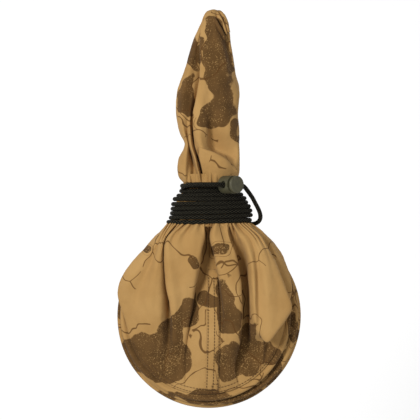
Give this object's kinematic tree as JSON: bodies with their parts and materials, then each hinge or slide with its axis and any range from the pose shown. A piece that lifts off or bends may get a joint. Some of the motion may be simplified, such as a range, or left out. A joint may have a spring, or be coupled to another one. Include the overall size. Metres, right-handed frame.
{
  "type": "training bumper",
  "caption": "Soft fabric training bumper: flat drum of wire hoops under a pleated sleeve, gathered to a neck wound with drawcord and a cord lock, with a folded fabric tail.",
  "frame": {"origin": "on the base panel's resting face, at the middle of the back hoop", "axes": "+X to the side that the cord lock leans to, +Y from the hoops along the tail to its folded tip, +Z out of the base panel through the hoops"},
  "size_m": [0.185, 0.3995, 0.0657],
  "materials": {
    "print_fabric": "matt woven cotton blend with a brown and tan print",
    "spring_wire": "drawn spring steel",
    "ferrule_metal": "crimped, plain",
    "braided_cord": "black braided cord",
    "lock_plastic": "moulded, fine satin"
  },
  "bodies": {
    "base": {"base_panel": "print_fabric", "back_hoop_wire": "spring_wire", "back_hoop_ferrule": "ferrule_metal", "back_hoop_casing": "print_fabric", "lower_wall": "print_fabric"},
    "middle_hoop": {"middle_hoop_wire": "spring_wire", "middle_hoop_ferrule": "ferrule_metal", "middle_hoop_casing": "print_fabric", "upper_wall": "print_fabric"},
    "sleeve": {"front_hoop_wire": "spring_wire", "front_hoop_ferrule": "ferrule_metal", "front_hoop_casing": "print_fabric", "sleeve_front": "print_fabric", "seam_placket": "print_fabric", "neck_core": "print_fabric", "cord_winding": "braided_cord", "drawcord_run": "braided_cord"},
    "tail": {"tail_front_bundle": "print_fabric", "tail_return_bundle": "print_fabric", "mouth_hem": "print_fabric"},
    "cord_lock": {"cord_lock_housing": "lock_plastic", "cord_lock_spring": "spring_wire"},
    "lock_plunger": {"cord_lock_plunger": "lock_plastic"}
  },
  "joints": [
    {"name": "middle_hoop_lift", "type": "slide", "parent": "base", "child": "middle_hoop", "axis": [0, 0, 1], "range_m": [0, 0.055], "deforming": ["lower_wall"]},
    {"name": "front_hoop_lift", "type": "slide", "parent": "middle_hoop", "child": "sleeve", "axis": [0, 0, 1], "range_m": [0, 0.055], "deforming": ["upper_wall"]},
    {"name": "tail_bend", "type": "hinge", "parent": "sleeve", "child": "tail", "pos_m": [0, 0.163, 0.0272], "axis": [1, 0, 0], "range_deg": [0, 50]},
    {"name": "cord_lock_slide", "type": "slide", "parent": "sleeve", "child": "cord_lock", "axis": [0.766, 0, -0.6428], "range_m": [0, 0.006]},
    {"name": "cord_lock_press", "type": "slide", "parent": "cord_lock", "child": "lock_plunger", "axis": [-0.6428, 0, -0.766], "range_m": [0, 0.0022], "stiffness_N_per_m": 800, "deforming": ["cord_lock_spring"]}
  ]
}
